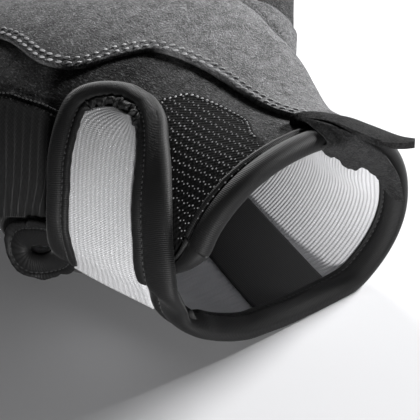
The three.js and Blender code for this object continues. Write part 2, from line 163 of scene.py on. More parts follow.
def fromFrame(points):
    return points * 1000 + gloveShift


def addObject(name, data):
    obj = bpy.data.objects.new(name, data)
    bpy.context.collection.objects.link(obj)
    return obj


def newMesh(name, points, edges=(), faces=()):
    mesh = bpy.data.meshes.new(name)
    mesh.from_pydata([tuple(p) for p in toFrame(points)], list(edges), [tuple(f) for f in faces])
    return mesh


def makeMesh(name, points, faces, uv=None):
    mesh = newMesh(name, points, faces=faces)
    mesh.validate()
    mesh.shade_smooth()
    if uv is not None:
        layer = mesh.uv_layers.new(name="run")
        loops = np.empty(len(mesh.loops), np.int32)
        mesh.loops.foreach_get("vertex_index", loops)
        layer.data.foreach_set("uv", np.asarray(uv, float)[loops].ravel())
    return addObject(name, mesh)


def gridFaces(rows, columns, wrapRows=False, wrapColumns=False, flip=False):
    faces = []
    for r in range(rows if wrapRows else rows - 1):
        for c in range(columns if wrapColumns else columns - 1):
            a, b = r * columns + c, r * columns + (c + 1) % columns
            d, e = ((r + 1) % rows) * columns + c, ((r + 1) % rows) * columns + (c + 1) % columns
            faces.append((a, d, e, b) if flip else (a, b, e, d))
    return faces


def wallMesh(name, outer, inner, uv=None):  # closed wall between two grids of points
    rows, columns = outer.shape[:2]
    points = np.vstack([outer.reshape(-1, 3), inner.reshape(-1, 3)])
    low = rows * columns
    top = gridFaces(rows, columns)
    faces = list(top) + [tuple(low + i for i in reversed(f)) for f in top]
    for r in range(rows - 1):
        a, b = r * columns, (r + 1) * columns
        faces.append((a, b, low + b, low + a))
        faces.append((b - 1 + columns, b - 1, low + b - 1, low + b - 1 + columns))
    for c in range(columns - 1):
        faces.append((c + 1, c, low + c, low + c + 1))
        last = (rows - 1) * columns
        faces.append((last + c, last + c + 1, low + last + c + 1, low + last + c))
    both = None if uv is None else np.vstack([np.stack(uv, -1).reshape(-1, 2)] * 2)
    obj = makeMesh(name, points, faces, both)
    outward(obj)
    return obj


def outward(obj):
    bm = bmesh.new()
    bm.from_mesh(obj.data)
    bmesh.ops.recalc_face_normals(bm, faces=bm.faces)
    bm.to_mesh(obj.data)
    bm.free()
    obj.data.shade_smooth()


def applyModifiers(obj):
    deps = bpy.context.evaluated_depsgraph_get()
    mesh = bpy.data.meshes.new_from_object(obj.evaluated_get(deps), depsgraph=deps)
    obj.modifiers.clear()
    old = obj.data
    obj.data = mesh
    bpy.data.meshes.remove(old)


# shader helpers


class Value:  # a number inside a shader, for plain arithmetic
    def __init__(self, shade, socket):
        self.shade = shade
        self.socket = socket

    def sum(self, operation, first, second=None):
        inputs = {0: first} if second is None else {0: first, 1: second}
        return self.shade.add("ShaderNodeMath", {"operation": operation}, inputs)

    def __add__(self, other):
        return self.sum("ADD", self, other)

    def __radd__(self, other):
        return self.sum("ADD", other, self)

    def __sub__(self, other):
        return self.sum("SUBTRACT", self, other)

    def __rsub__(self, other):
        return self.sum("SUBTRACT", other, self)

    def __mul__(self, other):
        return self.sum("MULTIPLY", self, other)

    def __rmul__(self, other):
        return self.sum("MULTIPLY", other, self)

    def sine(self):
        return self.sum("SINE", self)

    def wave(self):  # from 0 to 1 and back
        return self.sine() * 0.5 + 0.5


class Shade:  # one material and its nodes
    def __init__(self, name):
        self.material = bpy.data.materials.new(name)
        self.material.use_nodes = True
        self.tree = self.material.node_tree
        self.tree.nodes.clear()

    def add(self, kind, settings=None, inputs=None, output=0):
        node = self.tree.nodes.new(kind)
        for key, value in (settings or {}).items():
            if key == "stops":
                ramp = node.color_ramp
                while len(ramp.elements) < len(value):
                    ramp.elements.new(0.5)
                for stop, (place, shade) in zip(ramp.elements, value):
                    stop.position = place
                    stop.color = (shade, shade, shade, 1)
            else:
                setattr(node, key, value)
        for key, value in (inputs or {}).items():
            if isinstance(value, Value):
                self.tree.links.new(value.socket, node.inputs[key])
            else:
                node.inputs[key].default_value = value
        return Value(self, node.outputs[output]) if len(node.outputs) else None

    def place(self, turn=0.0, stretch=(1, 1, 1)):  # object coordinates, in mm
        at = self.add("ShaderNodeTexCoord", output=3)
        size = tuple(1000 * s for s in stretch)
        return self.add("ShaderNodeMapping", None, {"Vector": at, "Rotation": (0, 0, turn), "Scale": size})

    def run(self):  # the piece's own map, in mm
        return self.add("ShaderNodeUVMap", {"uv_map": "run"})

    def parts(self, vector):
        node = self.tree.nodes.new("ShaderNodeSeparateXYZ")
        self.tree.links.new(vector.socket, node.inputs[0])
        return [Value(self, out) for out in node.outputs]

    def noise(self, vector, scale, detail=4.0, roughness=0.6):
        inputs = {"Vector": vector, "Scale": scale, "Detail": detail, "Roughness": roughness}
        return self.add("ShaderNodeTexNoise", None, inputs)

    def ramp(self, factor, stops):
        return self.add("ShaderNodeValToRGB", {"stops": stops}, {"Fac": factor})

    def blend(self, factor, first, second):
        a = first if isinstance(first, Value) else (*first, 1)
        b = second if isinstance(second, Value) else (*second, 1)
        return self.add("ShaderNodeMix", {"data_type": "RGBA"}, {"Factor": factor, 6: a, 7: b}, output=2)

    def bump(self, height, distance, strength=1.0):
        inputs = {"Height": height, "Distance": distance, "Strength": strength}
        return self.add("ShaderNodeBump", None, inputs)

    def finish(self, colour, roughness, normal=None, sheen=0.0, sheenRoughness=0.5, specular=0.3):
        inputs = {"Base Color": colour, "Roughness": roughness, "Sheen Weight": sheen,
                  "Sheen Roughness": sheenRoughness, "Specular IOR Level": specular}
        if normal is not None:
            inputs["Normal"] = normal
        surface = self.add("ShaderNodeBsdfPrincipled", None, inputs)
        self.add("ShaderNodeOutputMaterial", None, {"Surface": surface})
        return self.material

    def cloth(self, tone, dark, light, height, depth, strength, roughness=0.85, **shine):
        colour = self.blend(tone, grey(dark), grey(light))
        return self.finish(colour, roughness, self.bump(height, depth, strength), **shine)


def grey(level):
    return (level, level, level * 1.02)


def check(u, v, across, along):  # crossed waves, from 0 to 1
    return (u * across).sine() * (v * along).sine() * 0.5 + 0.5


fullRange = [(0.0, 0.0), (1.0, 1.0)]


# turn sets the painted shade: the x where it is darkest, the x where it ends, its level and the knuckles' y
def suedeFinish(name, dark, light, patch, sheen, turn):
    s = Shade(name)
    at = s.place()
    mottle = s.noise(at, patch, 5.0, 0.65)
    nap = s.noise(at, 1.5, 6.0, 0.75)
    fibre = s.noise(s.place(stretch=(1.0, 0.45, 1.0), turn=0.6), 2.4, 3.0, 0.7)
    tone = s.ramp(mottle * 0.4 + nap * 0.6, [(0.4, 0.0), (0.62, 1.0)])
    colour = s.blend(tone, grey(dark), grey(light))
    x, y, _ = s.parts(at)
    # painted shade: towards the little finger's side, away from the light, the colour is scaled down by the
    # level; past the knuckles it is darkened evenly across
    fromX, toX, level, knuckleY = turn
    litShare = s.ramp((x - fromX) * (1 / (toX - fromX)), fullRange)
    knuckles = s.ramp((y - knuckleY) * 0.05, fullRange)
    litShare = litShare * (1 - knuckles) + knuckles * 0.4
    shaded = s.add("ShaderNodeVectorMath", {"operation": "SCALE"}, {0: colour, "Scale": level})
    colour = s.blend(litShare, shaded, colour)
    flecks = s.ramp(fibre, [(0.54, 0.0), (0.66, 1.0)])
    colour = s.blend(flecks * 0.5, colour, grey(light * 2.0))
    normal = s.bump(nap * 0.8 + fibre * 0.8, 0.0009)
    return s.finish(colour, 0.95, normal, sheen=sheen, sheenRoughness=0.4, specular=0.08)


def knitFinish(name, level):
    s = Shade(name)
    at = s.place(turn=0.785)
    x, y, _ = s.parts(at)
    weave = check(x, y, 7.2, 7.2)
    tone = weave * 0.5 + s.noise(at, 0.6, 4.0, 0.6) * 0.5
    return s.cloth(tone, level * 0.6, level * 1.7, weave, 0.00012, 0.8, sheen=0.12, specular=0.2)


def tapeFinish(name):
    s = Shade(name)
    u, _, _ = s.parts(s.run())
    at = s.place()
    ribs = (u * 14.5 + s.noise(at, 0.25, 3.0, 0.5) * 2.0).wave()
    weave = s.noise(at, 6.0, 2.0, 0.6)
    height = ribs * 0.6 + weave * 0.3
    return s.cloth(ribs * 0.7 + weave * 0.3, 0.004, 0.012, height, 0.0001, 0.7, 0.6,
                   sheen=0.1, sheenRoughness=0.25, specular=0.25)


def elasticFinish(name, level, pitch):
    s = Shade(name)
    u, v, _ = s.parts(s.run())
    eye = s.ramp(check(u, v, math.tau / pitch, math.tau / (pitch * 0.8)), [(0.25, 0.0), (0.75, 1.0)])
    cord = (u * (math.tau / (pitch * 2))).wave()
    tone = eye * 0.5 + cord * 0.25 + s.noise(s.place(), 0.35, 3.0, 0.5) * 0.25
    height = eye * 0.7 + cord * 0.5
    return s.cloth(tone, level * 0.66, level * 1.1, height, 0.0002, 0.9, sheen=0.1, specular=0.2)


def liningFinish(name, level):
    s = Shade(name)
    u, _, _ = s.parts(s.run())
    stitch = (u * 9.0).wave()
    tone = stitch * 0.2 + s.noise(s.place(), 0.3, 3.0, 0.5) * 0.8
    return s.cloth(tone, level * 0.88, level * 1.06, stitch, 0.0001, 0.25, sheen=0.1, specular=0.2)


def labelFinish(name):
    s = Shade(name)
    x, y, _ = s.parts(s.place(turn=0.12))
    weave, thread = (x * 12.5).wave(), (y * 16.0).wave()
    tone, height = weave * 0.5 + thread * 0.5, weave * 0.6 + thread * 0.4
    return s.cloth(tone, 0.006, 0.022, height, 0.00008, 0.7, 0.6, sheen=0.1, specular=0.4)


def meshFinish(name):
    s = Shade(name)
    at = s.place()
    x, y, _ = s.parts(at)
    weave = check(x, y, 5.0, 5.0)
    tone = weave * 0.6 + s.noise(at, 1.5, 3.0, 0.6) * 0.4
    return s.cloth(tone, 0.003, 0.009, weave, 0.0002, 0.8, specular=0.08)


def threadFinish(name, level):
    s = Shade(name)
    twist = s.noise(s.place(turn=0.5), 4.0, 2.0, 0.6)
    return s.cloth(twist, level * 0.7, level * 1.2, twist, 0.00008, 0.5, 0.7, specular=0.35)


def floorFinish(name):
    s = Shade(name)
    soft = s.noise(s.place(), 0.01, 2.0, 0.5)
    colour = s.blend(soft, grey(0.8), grey(0.84))
    return s.finish(colour, 0.6, None, specular=0.2)


looks = {
    # the last numbers of each suede set its painted shade, darker towards the little finger's side
    "suedeDark": suedeFinish("wrist_suede", 0.014, 0.15, 0.35, 0.1, (-29, -10, 0.28, -40)),
    "suedePale": suedeFinish("palm_suede", 0.07, 0.26, 0.3, 0.06, (-44, -16, 0.5, 10)),
    # darker copy of the wrist suede: painted shade for the fold in the tab's shadow
    "suedeFoldShaded": suedeFinish("fold_suede_painted_shade", 0.012, 0.045, 0.35, 0.03, (-60, -20, 0.8, 10)),
    # darker copy of the wrist suede: painted shade on the tab's lit top
    "suedeTabShaded": suedeFinish("tab_suede_painted_shade", 0.006, 0.036, 0.35, 0.03, (-60, -20, 0.8, 10)),
    "knit": knitFinish("back_knit", 0.01),
    "ribs": knitFinish("side_rib_knit", 0.0045),
    "tape": tapeFinish("binding_tape"),
    "strap": elasticFinish("strap_elastic", 0.68, 0.72),
    "lining": liningFinish("lining_elastic", 0.66),
    "label": labelFinish("woven_label"),
    "mesh": meshFinish("mesh_fabric"),
    "threadPale": threadFinish("pale_thread", 0.45),
    "threadBlack": threadFinish("black_thread", 0.03),
    "dots": threadFinish("mesh_dots", 0.2),
    "floor": floorFinish("studio_floor"),
}
print("finishes ready")


def dress(obj, look, slot, *nodes):  # finish, body and the nodes that the piece stands for
    obj.data.materials.clear()
    obj.data.materials.append(looks[look])
    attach(obj, "root")
    if nodes:
        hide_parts(*nodes)


# geometry node trees for what repeats


def nodeTree(name, inputs):
    tree = bpy.data.node_groups.new(name, "GeometryNodeTree")
    for label, kind in {"Geometry": "Geometry", **inputs}.items():
        tree.interface.new_socket(name=label, in_out="INPUT", socket_type="NodeSocket" + kind)
    tree.interface.new_socket(name="Geometry", in_out="OUTPUT", socket_type="NodeSocketGeometry")
    start = tree.nodes.new("NodeGroupInput")
    end = tree.nodes.new("NodeGroupOutput")

    def put(kind, settings=None, inputs=None):
        node = tree.nodes.new(kind)
        for key, value in (settings or {}).items():
            setattr(node, key, value)
        for key, value in (inputs or {}).items():
            if isinstance(value, bpy.types.NodeSocket):
                tree.links.new(value, node.inputs[key])
            else:
                node.inputs[key].default_value = value
        return node.outputs

    def copies(points, rings, turn, size, finish):  # a bead with its finish on each point
        bead = put("GeometryNodeMeshUVSphere", None, {"Segments": 8, "Rings": rings, "Radius": 0.5})
        spread = put("GeometryNodeInstanceOnPoints", None, {
            "Points": points, "Instance": bead[0], "Rotation": turn, "Scale": size})
        real = put("GeometryNodeRealizeInstances", None, {"Geometry": spread[0]})
        smooth = put("GeometryNodeSetShadeSmooth", None, {"Geometry": real[0]})
        done = put("GeometryNodeSetMaterial", None, {"Geometry": smooth[0], "Material": finish})
        tree.links.new(done[0], end.inputs[0])
        return tree

    return start.outputs, put, copies


def stitchTree():  # a thread stitch at each step along a line
    given, put, copies = nodeTree("stitch_row", {
        "Pitch": "Float", "Length": "Float", "Thickness": "Float", "Slant": "Float", "Thread": "Material"})
    line = put("GeometryNodeMeshToCurve", None, {"Mesh": given["Geometry"]})
    steps = put("GeometryNodeResampleCurve", {"mode": "LENGTH"}, {"Curve": line[0], "Length": given["Pitch"]})
    size = put("ShaderNodeCombineXYZ", None, {
        "X": given["Length"], "Y": given["Thickness"], "Z": given["Thickness"]})
    tangent = put("GeometryNodeInputTangent")
    turn = put("FunctionNodeAlignRotationToVector", {"axis": "X"}, {"Vector": tangent[0]})
    lean = put("ShaderNodeCombineXYZ", None, {"Z": given["Slant"]})
    slanted = put("FunctionNodeRotateRotation", {"rotation_space": "LOCAL"}, {0: turn[0], 1: lean[0]})
    return copies(steps[0], 6, slanted[0], size[0], given["Thread"])


def dotTree():  # a small raised dot on each point, turned by the point's own direction
    given, put, copies = nodeTree("mesh_dots", {
        "Length": "Float", "Width": "Float", "Height": "Float", "Seed": "Int", "Finish": "Material"})
    size = put("ShaderNodeCombineXYZ", None, {
        "X": given["Length"], "Y": given["Width"], "Z": given["Height"]})
    chance = put("FunctionNodeRandomValue", {"data_type": "FLOAT"}, {
        2: 0.75, 3: 1.15, "Seed": given["Seed"]})
    uneven = put("ShaderNodeVectorMath", {"operation": "SCALE"}, {0: size[0], "Scale": chance[1]})
    facing = put("GeometryNodeInputNamedAttribute", {"data_type": "FLOAT_VECTOR"}, {"Name": "facing"})
    turn = put("FunctionNodeAlignRotationToVector", {"axis": "Z"}, {"Vector": facing[0]})
    return copies(given["Geometry"], 5, turn[0], uneven[0], given["Finish"])


stitchRow = stitchTree()
dotField = dotTree()


def throughTree(obj, tree, values):
    modifier = obj.modifiers.new("made", "NODES")
    modifier.node_group = tree
    for item in tree.interface.items_tree:
        if item.in_out == "INPUT" and item.name in values:
            modifier[item.identifier] = values[item.name]
    applyModifiers(obj)


def sewLine(name, lines, pitch, length, thickness, look, slot, slant=0.0):  # stitches along lines in mm
    points, edges = [], []
    for line in lines:
        first = len(points)
        points.extend(line)
        edges.extend((first + i, first + i + 1) for i in range(len(line) - 1))
    obj = addObject(name, newMesh(name, points, edges))
    throughTree(obj, stitchRow, {
        "Pitch": pitch * mm, "Length": length * mm, "Thickness": thickness * mm, "Slant": slant,
        "Thread": looks[look]})
    dress(obj, look, slot)


# the stuffed body: hand and digits grown into one skin

body = {
    "voxel": 1.15, "rounds": 8, "start": -4.0, "handEnd": 119.0,
    "knuckles": ((2.2, 0.93), (4.0, 0.78), (5.0, 0.5)),  # how far each ring stands out, its share of the rim
}


def digitFrames(digit, count):
    s = np.linspace(0, digit["length"], count)
    heading = math.radians(digit["heading"])
    low, high = digit["rise"]
    fine = np.linspace(0, digit["length"], 400)
    pitch = np.radians(low + (high - low) * (fine / digit["length"]) ** 1.6)
    level = np.cos(pitch)
    along = np.stack([math.sin(heading) * level, math.cos(heading) * level, np.sin(pitch)], -1)
    step = fine[1] - fine[0]
    moved = np.cumsum((along[1:] + along[:-1]) / 2 * step, axis=0)
    middle = np.array(digit["root"], float) + np.vstack([np.zeros(3), moved])
    centre = np.stack([np.interp(s, fine, middle[:, k]) for k in range(3)], -1)
    t = np.stack([np.interp(s, fine, along[:, k]) for k in range(3)], -1)
    side = np.tile([math.cos(heading), -math.sin(heading), 0.0], (count, 1))
    up = np.cross(side, t)
    return s, centre, side, up


joints = {  # slack of the fabric at each digit's bends: share of the length, depth, reach in mm
    "finger": [(0.36, 0.75, 5.0), (0.66, 0.6, 4.0)],
    "thumb": [(0.52, 0.8, 6.0)],
}


def digitSkin(name, digit):
    s, centre, side, up = digitFrames(digit, 64)
    root, tip = digit["radii"]
    radius = root + (tip - root) * s / digit["length"]
    bodyEnd = digit["length"] - tip
    cap = np.clip((s - bodyEnd) / tip, 0, 1)
    radius = radius * np.sqrt(np.maximum(1 - cap**2.3, 0.0)) + 0.02
    angles = np.radians(np.arange(0, 360, 10))
    ring = np.stack([np.cos(angles), np.sin(angles)], -1)
    bends = joints["thumb" if name == "thumb" else "finger"]
    points = []
    for k in range(len(s)):
        pinch = np.zeros(len(angles))
        for place, depth, reach in bends:  # the palm side creases, the back stretches
            near = math.exp(-((s[k] - place * digit["length"]) / reach) ** 2)
            pinch -= depth * near * np.maximum(ring[:, 1], 0)
        r = radius[k] + pinch * (1 - cap[k])
        # flatter underside and front, as sewn fingers are
        height = np.where(ring[:, 1] > 0, 0.92, 0.95)
        across = side[k] * (r * ring[:, 0])[:, None]
        points.append(centre[k] + across + up[k] * (r * height * ring[:, 1])[:, None])
    grid = np.array(points)
    faces = gridFaces(len(s), len(angles), wrapColumns=True)
    count = len(s) * len(angles)
    verts = np.vstack([grid.reshape(-1, 3), centre[:1], centre[-1:]])
    for c in range(len(angles)):
        d = (c + 1) % len(angles)
        faces.append((count, d, c))
        faces.append((count + 1, count - len(angles) + c, count - len(angles) + d))
    return verts, faces


def handSkin():
    ys = np.concatenate([[body["start"]], np.arange(0, body["handEnd"], 1.5), [body["handEnd"]]])
    angles = np.arange(0, 360, 3.0)
    grid = surf(angles[None, :], ys[:, None])
    ends = []
    for push, share in body["knuckles"]:
        rim = grid[-1]
        middle = rim.mean(axis=0)
        ring = middle + (rim - middle) * share
        ring[:, 1] += push
        ends.append(ring)
    verts = np.vstack([grid.reshape(-1, 3)] + ends)
    columns = len(angles)
    faces = gridFaces(len(ys) + len(ends), columns, wrapColumns=True, flip=True)
    tail = len(verts) - columns
    verts = np.vstack([verts, verts[tail:].mean(axis=0), grid[0].mean(axis=0)])
    hub = len(verts) - 2
    for c in range(columns):
        d = (c + 1) % columns
        faces.append((tail + c, hub, tail + d))
        faces.append((c, d, hub + 1))
    return verts, faces


def joinSkins():
    verts, faces = handSkin()
    for name, digit in digits.items():
        more, moreFaces = digitSkin(name, digit)
        first = len(verts)
        verts = np.vstack([verts, more])
        faces += [tuple(first + i for i in f) for f in moreFaces]
    obj = makeMesh("body_form", verts, faces)
    outward(obj)
    remesh = obj.modifiers.new("form", "REMESH")
    remesh.mode = "VOXEL"
    remesh.voxel_size = body["voxel"] * mm
    remesh.use_smooth_shade = True
    smooth = obj.modifiers.new("soft", "SMOOTH")
    smooth.factor = 0.5
    smooth.iterations = body["rounds"]
    applyModifiers(obj)
    return obj


def vertexValues(mesh, what):
    values = np.empty(len(mesh.vertices) * 3)
    mesh.vertices.foreach_get(what, values)
    return values.reshape(-1, 3)


def pointsOf(mesh):
    return fromFrame(vertexValues(mesh, "co"))


def setPoints(mesh, points):
    mesh.vertices.foreach_set("co", toFrame(points).ravel())
    mesh.update()


def digitPlace(points, digit):  # distance along, distance from the centre line, height over its middle plane
    s, centre, _, up = digitFrames(digit, 60)
    best = np.full(len(points), 1e9)
    along = np.zeros(len(points))
    height = np.zeros(len(points))
    for k in range(len(s)):
        d = points - centre[k]
        q = np.einsum("ij,ij->i", d, d)
        near = q < best
        best[near] = q[near]
        along[near] = s[k]
        height[near] = d[near] @ up[k]
    return along, np.sqrt(best), height


def softNoise(points, scale, seed, waves=7):  # smooth wandering numbers from a few crossed waves
    local = np.random.default_rng(seed)
    total = np.zeros(len(points))
    for _ in range(waves):
        direction = local.normal(size=3)
        direction /= np.linalg.norm(direction)
        pace = math.tau / scale * local.uniform(0.7, 1.5)
        total += np.sin(points @ direction * pace + local.uniform(0, 6.28))
    return total / waves ** 0.5


def settle(obj):  # bring the wrist back onto the exact form, then let the fabric wander a little
    mesh = obj.data
    p = pointsOf(mesh)
    y = p[:, 1]
    middle, low, high = seamHeight(y), handValue(y, lowOf), handValue(y, highOf)
    centre, half, power = handValue(y, centreOf), handValue(y, halfOf), handValue(y, bendOf)
    dx, dz = p[:, 0] - centre, p[:, 2] - middle
    h = np.where(dz >= 0, high - middle, middle - low)
    rise = np.sign(dz) * np.abs(dz / h) ** (power / 2)
    run = np.sign(dx) * np.abs(dx / half) ** (power / 2)
    angle = np.degrees(np.arctan2(rise, run))
    exact = surf(angle, y)
    away = np.linalg.norm(exact - p, axis=1)
    weight = (1 - smoothstep(y, 78, 100)) * (1 - smoothstep(away, 1.2, 3.0))
    p = p + (exact - p) * weight[:, None]
    n = vertexValues(mesh, "normal")
    drift = 0.22 * softNoise(p, 26, 3) + 0.12 * softNoise(p, 11, 4)
    drift *= smoothstep(y, 66, 96)
    p = p + n * drift[:, None]
    p[:, 2] = np.maximum(p[:, 2], 0.0)
    setPoints(mesh, p)


bodyForm = joinSkins()
settle(bodyForm)
bodyPoints = pointsOf(bodyForm.data)
bodyFaces = [tuple(f.vertices) for f in bodyForm.data.polygons]
bodyTree = BVHTree.FromPolygons([tuple(p) for p in bodyPoints], bodyFaces)
print("body form", len(bodyForm.data.polygons))


def seamLevel(points):  # above 0 on the palm side, below 0 on the back
    level = points[:, 2] - seamHeight(points[:, 1])
    for name, digit in digits.items():
        along, away, height = digitPlace(points, digit)
        start = 22 if name == "thumb" else 8
        thick = digit["radii"][0]
        inside = (1 - smoothstep(away, thick + 2.0, thick + 5.0)) * smoothstep(along, start, start + 12)
        level = level * (1 - inside) + height * inside
    return level


def insideLevel(points2, outline):  # signed distance to a closed outline, above 0 inside
    q = np.asarray(outline, float)
    a, b = q, np.roll(q, -1, axis=0)
    best = np.full(len(points2), 1e9)
    crossing = np.zeros(len(points2), bool)
    for (ax, ay), (bx, by) in zip(a, b):
        ex, ey = bx - ax, by - ay
        wx, wy = points2[:, 0] - ax, points2[:, 1] - ay
        t = np.clip((wx * ex + wy * ey) / max(ex * ex + ey * ey, 1e-12), 0, 1)
        best = np.minimum(best, (wx - t * ex) ** 2 + (wy - t * ey) ** 2)
        spans = (ay > points2[:, 1]) != (by > points2[:, 1])
        at = ax + (points2[:, 1] - ay) * ex / (ey if abs(ey) > 1e-12 else 1e-12)
        crossing ^= spans & (points2[:, 0] < at)
    return np.where(crossing, 1, -1) * np.sqrt(best)


def cutPanel(source, name, levels):  # keep the part of a mesh where every level is above 0
    obj = addObject(name, source.data.copy())
    for level in levels:
        bm = bmesh.new()
        bm.from_mesh(obj.data)
        bm.verts.ensure_lookup_table()
        value = level(fromFrame(np.array([v.co for v in bm.verts])))
        value[np.abs(value) < 0.02] = 0.02
        height = {v: value[i] for i, v in enumerate(bm.verts)}
        onEdge = set()
        for edge in list(bm.edges):
            a, b = edge.verts
            ha, hb = height[a], height[b]
            if (ha > 0) != (hb > 0):
                _, new = bmesh.utils.edge_split(edge, a, ha / (ha - hb))
                height[new] = 0.0
                onEdge.add(new)
        for face in list(bm.faces):
            cut = [v for v in face.verts if v in onEdge]
            if len(cut) == 2:
                try:
                    bmesh.utils.face_split(face, cut[0], cut[1])
                except ValueError:
                    pass
        gone = [f for f in bm.faces if sum(height[v] for v in f.verts) < 0]
        bmesh.ops.delete(bm, geom=gone, context="FACES")
        bm.to_mesh(obj.data)
        bm.free()
    obj.data.shade_smooth()
    return obj


def thicken(obj, thickness, lift=0.0, outside=False):  # the panel's wall; lift moves it off the body first
    mesh = obj.data
    if lift:
        setPoints(mesh, pointsOf(mesh) + vertexValues(mesh, "normal") * lift)
    wall = obj.modifiers.new("wall", "SOLIDIFY")
    wall.thickness = thickness * mm
    wall.offset = 1.0 if outside else -1.0
    wall.use_even_offset = False
    applyModifiers(obj)
    obj.data.shade_smooth()


# panel outlines, plan (x, y) or side (y, z)

slitOutline = [
    (-12, 14.2), (41.5, 14.2), (43.5, 10.2), (50.2, 9.6), (51.5, 11.5), (50.5, 13.4), (47, 15.8),
    (43, 17.2), (38, 18.6), (32, 19.3), (22, 19.8), (16, 20.8), (9.2, 23.4), (6, 25.6), (3, 28.2),
    (-1, 33), (-12, 33),
]
overlayEdge = [
    (11.5, 11.5), (9.6, 18), (9, 27), (8.6, 40.5), (4.2, 51.7), (-3.3, 55.4), (-13.9, 58.8),
    (-18.9, 67.6), (-18.4, 84.4), (-24, 97), (-34, 104), (-38, 109),
]
meshEdge = [
    (-8, 37), (-4, 36.8), (-0.8, 35.6), (0.9, 32), (2.2, 26), (2.4, 18.5), (-0.4, 13), (-5, 5), (-27, 5),
    (-24, 13), (-17, 26),
]
ribTop = [
    (40, 40), (51, 40.9), (57, 41.4), (66, 41.3), (82, 38), (96, 31.5), (106, 22),
]
ribFoot = [
    (40, 24.4), (44, 22.5), (49, 20.5), (55.6, 18), (60, 15), (66, 12), (96, 11), (106, 15),
]

overlayCurve = catmull(overlayEdge, 10)
meshCurve = catmull(meshEdge, 8, closed=True)
mouthLevel = 3.0  # the fabric ends inside the tape
slitSide = -12  # the slit lies on the little finger's side of this x
panelWall = 1.8


def slitLevel(points):
    inside = insideLevel(points[:, [1, 2]], slitOutline)
    return np.where(points[:, 0] < slitSide, -inside, 20.0)


def mouthKeep(points):
    return points[:, 1] - mouthLevel


def makePanel(name, levels, look, slot, nodes, layer=None):  # a wall of the glove, or a layer sewn on it
    obj = cutPanel(bodyForm, name, levels)
    if layer:
        thicken(obj, layer["thickness"], layer["lift"], outside=True)
    else:
        thicken(obj, panelWall)
    dress(obj, look, slot, *nodes)


overlay = {"thickness": 1.15, "lift": 0.25, "rows": (1.0, 2.6), "pitch": 2.35, "stitch": 1.55, "thread": 0.6}


def overlayLevel(points):
    outline = np.vstack([overlayCurve, [(-40, 109), (70, 109), (70, 11.5)]])
    thumbAlong, thumbAway, _ = digitPlace(points, digits["thumb"])
    clear = thumbAway - digits["thumb"]["radii"][0] - 1.0
    clear = np.where(thumbAlong > 18, clear, 50)
    level = np.minimum(insideLevel(points[:, :2], outline), points[:, 2] - 25.0)
    return np.minimum(level, clear)


def fromAbove(points2, lift):  # drop plan points onto the body
    out = []
    for x, y in points2:
        hit, normal, _, _ = bodyTree.ray_cast(Vector((x, y, 90.0)), Vector((0, 0, -1)))
        if hit is not None:
            out.append(np.array(hit) + np.array(normal) * lift)
    return np.array(out)


def besides(curve, distance):  # plan curve moved to its left
    t = np.gradient(curve, axis=0)
    t /= np.linalg.norm(t, axis=1, keepdims=True)
    return curve + np.stack([t[:, 1], -t[:, 0]], -1) * distance


def sewOverlay():
    lines = []
    for inset in overlay["rows"]:
        plan, _ = evenly(besides(overlayCurve[:-6], inset), 0.8)
        lines.append(fromAbove(plan, overlay["lift"] + overlay["thickness"] + 0.08))
    sewLine("overlay_stitches", lines, overlay["pitch"], overlay["stitch"], overlay["thread"], "threadPale",
            "suede_pale", slant=0.35)


patch = {
    "thickness": 0.5, "lift": 0.12, "floor": 22, "edge": 0.8, "slit": 1.0,
    "columns": 28, "rows": 23, "across": 2.0, "row": 1.66, "turn": 57.3 / 30,  # degrees for a mm across
    "start": (82, 1.0), "pair": (0.8, 0.42), "dot": (0.44, 0.38, 0.3), "seam": 0.7,
}


def meshLevel(points):
    level = insideLevel(points[:, :2], meshCurve)
    return np.where(points[:, 2] > patch["floor"], level, -20.0)


def makeDots():
    spots, facing = [], []
    lift = patch["lift"] + patch["thickness"] + 0.05
    firstAngle, firstY = patch["start"]
    for column in range(patch["columns"]):
        for row in range(patch["rows"]):
            for ahead, aside in ((0, 0), patch["pair"]):
                angle = firstAngle + (column * patch["across"] - aside) * patch["turn"]
                y = firstY + row * patch["row"] - ahead
                at = surf(angle, y, lift)
                onMesh = insideLevel(at[None, :2], meshCurve)[0] >= patch["edge"]
                if onMesh and slitLevel(at[None])[0] >= patch["slit"] and at[2] >= patch["floor"]:
                    spots.append(at)
                    facing.append(tuple(surfNormal(angle, y)))
    mesh = newMesh("mesh_dots", spots)
    layer = mesh.attributes.new("facing", "FLOAT_VECTOR", "POINT")
    layer.data.foreach_set("vector", np.array(facing).ravel())
    obj = addObject("mesh_dots", mesh)
    length, width, height = patch["dot"]
    throughTree(obj, dotField, {
        "Length": length * mm, "Width": width * mm, "Height": height * mm, "Seed": 3,
        "Finish": looks["dots"]})
    dress(obj, "dots", "mesh_black")
    top = meshCurve[(meshCurve[:, 1] > 10) & (meshCurve[:, 0] > -9)]
    top = top[np.argsort(-np.arctan2(top[:, 1] - 20, top[:, 0] + 14))]
    line = fromAbove(evenly(besides(top, patch["seam"]), 0.8)[0], 0.75)
    sewLine("mesh_stitches", [line], 1.3, 0.72, 0.4, "threadPale", "mesh_black", slant=0.5)


# ribbed side panel, with its ribs in the mesh

ribs = {
    "pitch": 2.3, "height": 0.6, "lift": 0.25, "thickness": 0.7, "lean": 0.9,
    "from": 41.0, "to": 105.0, "step": 0.25, "rows": 44,
    "hook": 3.0, "hookShare": 0.3, "hookReach": 16,  # the ribs' turn at the slit
}


def angleAt(y, z):  # section angle on the little finger's side at a height
    middle, low, high = seamHeight(y), handValue(y, lowOf), handValue(y, highOf)
    up = (z - middle) / np.where(z >= middle, high - middle, middle - low)
    s = np.sign(up) * np.abs(np.clip(up, -1, 1)) ** (handValue(y, bendOf) / 2)
    return 180 - np.degrees(np.arcsin(s))


